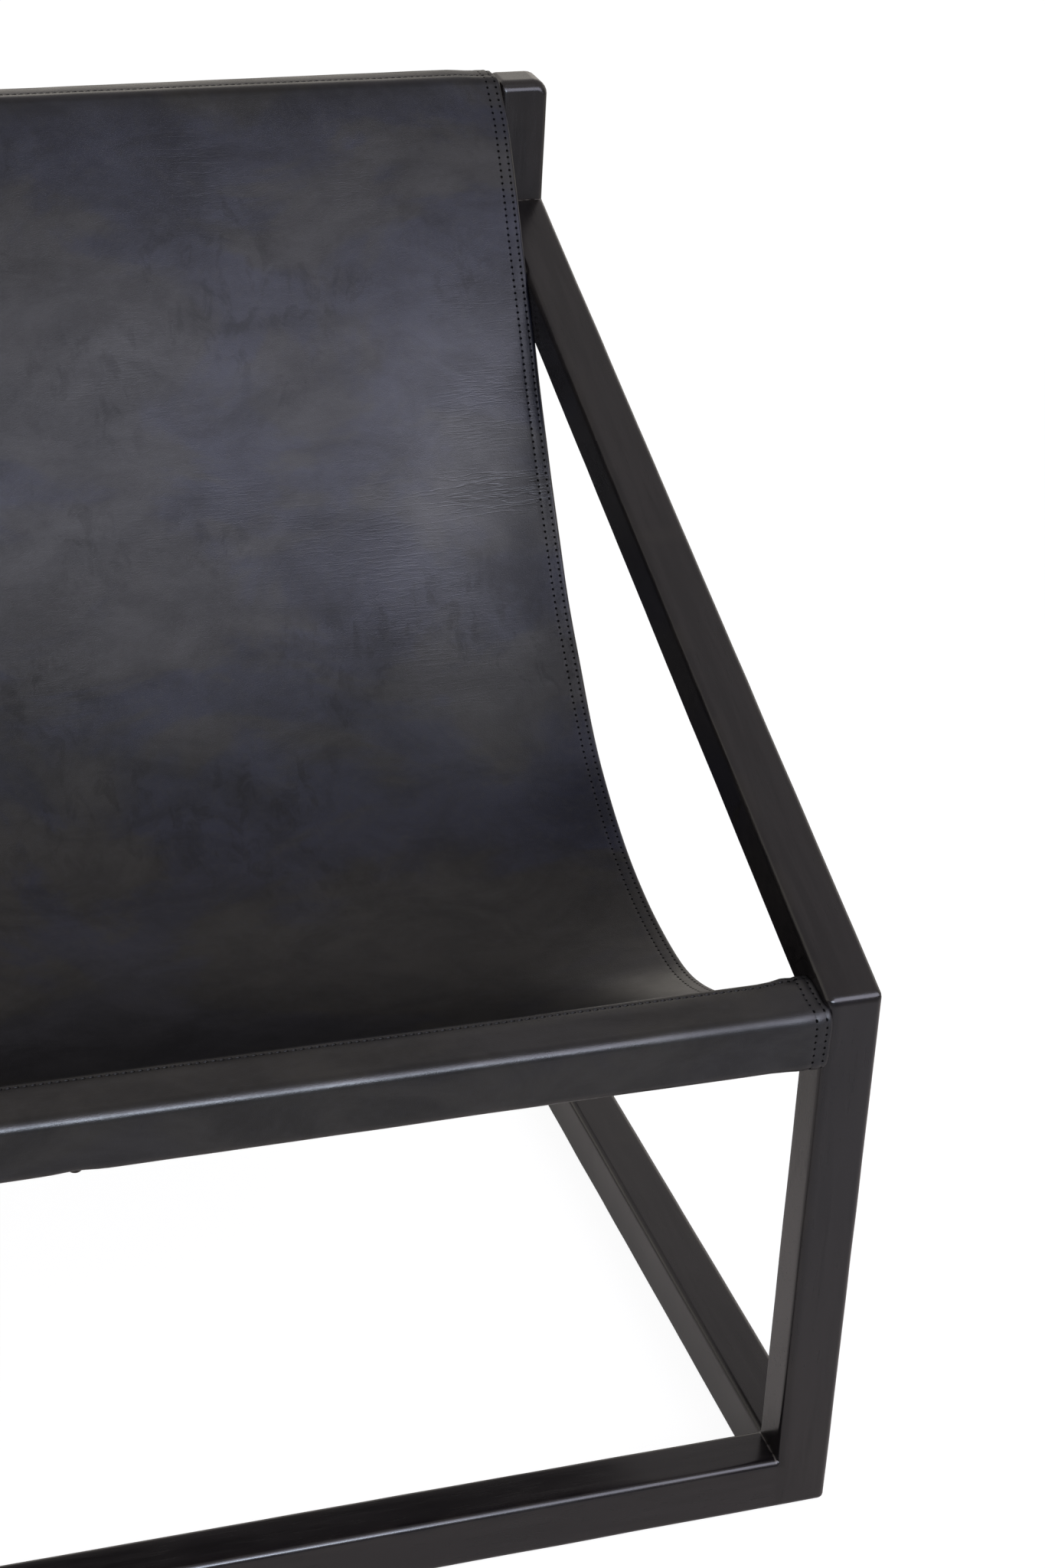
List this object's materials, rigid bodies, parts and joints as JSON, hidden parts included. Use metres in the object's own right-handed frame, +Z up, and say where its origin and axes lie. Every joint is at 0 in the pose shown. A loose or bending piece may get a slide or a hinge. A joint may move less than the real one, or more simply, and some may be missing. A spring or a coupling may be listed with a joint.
{
  "type": "sling lounge chair",
  "caption": "Low lounge chair with a black-stained square timber frame, sloping arms and a charcoal leather sling sewn round its front and top rails.",
  "frame": {"origin": "on the floor, under the middle of the frame", "axes": "+Z up, -Y towards the sitter's knees (the chair's front), +X to the right of someone facing the front"},
  "size_m": [0.72, 0.7574, 0.7617],
  "materials": {
    "stained_timber": "black stain under satin lacquer",
    "charcoal_leather": "smooth mottled charcoal leather with a satin sheen",
    "beech_dowel": "plain turned beech",
    "felt_pad": "dense dark felt",
    "dark_steel": "dark browned steel"
  },
  "bodies": {
    "root": {"front_leg_left": "stained_timber", "front_leg_right": "stained_timber", "rear_post_left": "stained_timber", "rear_post_right": "stained_timber", "sloping_arm_left": "stained_timber", "sloping_arm_right": "stained_timber", "bottom_side_rail_left": "stained_timber", "bottom_side_rail_right": "stained_timber", "front_bottom_rail": "stained_timber", "rear_bottom_rail": "stained_timber", "front_seat_rail": "stained_timber", "top_back_rail": "stained_timber", "leather_sling": "charcoal_leather", "sleeve_nail": "dark_steel", "mitre_dowel_left_inner": "beech_dowel", "mitre_dowel_left_outer": "beech_dowel", "mitre_dowel_right_inner": "beech_dowel", "mitre_dowel_right_outer": "beech_dowel", "floor_pad_front_left": "felt_pad", "floor_pad_front_right": "felt_pad", "floor_pad_rear_left": "felt_pad", "floor_pad_rear_right": "felt_pad"}
  },
  "joints": []
}
